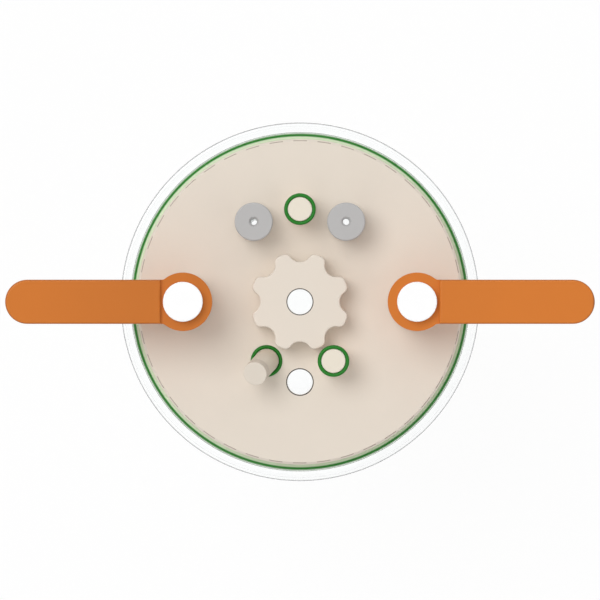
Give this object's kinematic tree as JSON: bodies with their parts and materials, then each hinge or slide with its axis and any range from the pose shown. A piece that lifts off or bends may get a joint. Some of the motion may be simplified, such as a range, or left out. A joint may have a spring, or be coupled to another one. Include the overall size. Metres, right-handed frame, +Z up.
{
  "type": "electrochemical cell",
  "caption": "Glass electrochemical cell with a plug lid hung from its rim on swinging arms, a star-knob rod clamp, gas fittings, plugged electrode ports and a leaning bridge tube.",
  "frame": {"origin": "centre of the vessel's foot, on the surface it stands on", "axes": "+Z up along the vessel's axis, +X along the right arm, +Y towards the gas fittings at the back"},
  "size_m": [0.148, 0.09, 0.1089],
  "materials": {
    "vessel_glass": "clear, fire-polished rim",
    "lid_plastic": "cream, finely turned",
    "knob_plastic": "cream, smooth",
    "arm_plastic": "orange, satin",
    "screw_plastic": "white, smooth",
    "washer_plastic": "white, waxy",
    "nut_plastic": "grey, satin",
    "tube_plastic": "white, waxy",
    "seal_rubber": "green, smooth"
  },
  "bodies": {
    "vessel": {"glass_vessel": "vessel_glass"},
    "lid_set": {"lid": "lid_plastic", "lid_oring": "seal_rubber", "rod_oring": "seal_rubber", "arm_screw_left": "screw_plastic", "arm_screw_right": "screw_plastic", "arm_washer_left": "washer_plastic", "arm_washer_right": "washer_plastic", "port_neck_back": "lid_plastic", "port_neck_front": "lid_plastic", "port_oring_back": "seal_rubber", "port_oring_front": "seal_rubber"},
    "left_arm": {"arm_left": "arm_plastic"},
    "right_arm": {"arm_right": "arm_plastic"},
    "knob_ring": {"pressure_ring": "washer_plastic"},
    "knob": {"star_knob": "knob_plastic"},
    "plug_back": {"port_plug_back": "knob_plastic"},
    "plug_front": {"port_plug_front": "knob_plastic"},
    "bridge_ring": {"bridge_oring": "seal_rubber"},
    "bridge": {"bridge_tube": "lid_plastic", "bridge_tip": "tube_plastic"},
    "bridge_stopper": {"bridge_cap": "lid_plastic"},
    "gas_in_tube": {"ferrule_left": "washer_plastic", "dip_tube": "tube_plastic"},
    "gas_in_nut": {"gas_nut_left": "nut_plastic"},
    "gas_out_tube": {"ferrule_right": "washer_plastic", "vent_tube": "tube_plastic"},
    "gas_out_nut": {"gas_nut_right": "nut_plastic"}
  },
  "joints": [
    {"name": "lid_lift", "type": "slide", "parent": "vessel", "child": "lid_set", "axis": [0, 0, 1], "range_m": [0, 0.095]},
    {"name": "left_arm_swing", "type": "hinge", "parent": "lid_set", "child": "left_arm", "pos_m": [-0.0294, 0, 0.1], "axis": [0, 0, 1], "range_deg": [-90, 90]},
    {"name": "right_arm_swing", "type": "hinge", "parent": "lid_set", "child": "right_arm", "pos_m": [0.0294, 0, 0.1], "axis": [0, 0, 1], "range_deg": [-90, 90]},
    {"name": "knob_rise", "type": "slide", "parent": "lid_set", "child": "knob_ring", "axis": [0, 0, 1], "range_m": [0, 0.0075]},
    {"name": "knob_turn", "type": "hinge", "parent": "knob_ring", "child": "knob", "pos_m": [0, 0, 0.089], "axis": [0, 0, 1], "range_deg": [0, 1800]},
    {"name": "plug_back_lift", "type": "slide", "parent": "lid_set", "child": "plug_back", "axis": [0, 0, 1], "range_m": [0, 0.03]},
    {"name": "plug_front_lift", "type": "slide", "parent": "lid_set", "child": "plug_front", "axis": [0, 0, 1], "range_m": [0, 0.03]},
    {"name": "bridge_height", "type": "slide", "parent": "lid_set", "child": "bridge_ring", "axis": [0, 0, 1], "range_m": [0, 0.03]},
    {"name": "bridge_turn", "type": "hinge", "parent": "bridge_ring", "child": "bridge", "pos_m": [-0.00842, -0.01488, 0.089], "axis": [0, 0, 1], "range_deg": [-90, 90]},
    {"name": "bridge_cap_lift", "type": "slide", "parent": "bridge", "child": "bridge_stopper", "axis": [-0.2561, -0.2844, 0.9239], "range_m": [0, 0.01]},
    {"name": "gas_in_rise", "type": "slide", "parent": "lid_set", "child": "gas_in_tube", "axis": [0, 0, 1], "range_m": [0, 0.00544]},
    {"name": "gas_in_turn", "type": "hinge", "parent": "gas_in_tube", "child": "gas_in_nut", "pos_m": [-0.01162, 0.02014, 0.089], "axis": [0, 0, 1], "range_deg": [0, 2160]},
    {"name": "gas_out_rise", "type": "slide", "parent": "lid_set", "child": "gas_out_tube", "axis": [0, 0, 1], "range_m": [0, 0.00544]},
    {"name": "gas_out_turn", "type": "hinge", "parent": "gas_out_tube", "child": "gas_out_nut", "pos_m": [0.01162, 0.02014, 0.089], "axis": [0, 0, 1], "range_deg": [0, 2160]}
  ],
  "couplings": [
    {"joint": "knob_turn", "follows": "knob_rise", "rad_per_m": 4188.8},
    {"joint": "gas_in_turn", "follows": "gas_in_rise", "rad_per_m": 6927.4},
    {"joint": "gas_out_turn", "follows": "gas_out_rise", "rad_per_m": 6927.4}
  ]
}
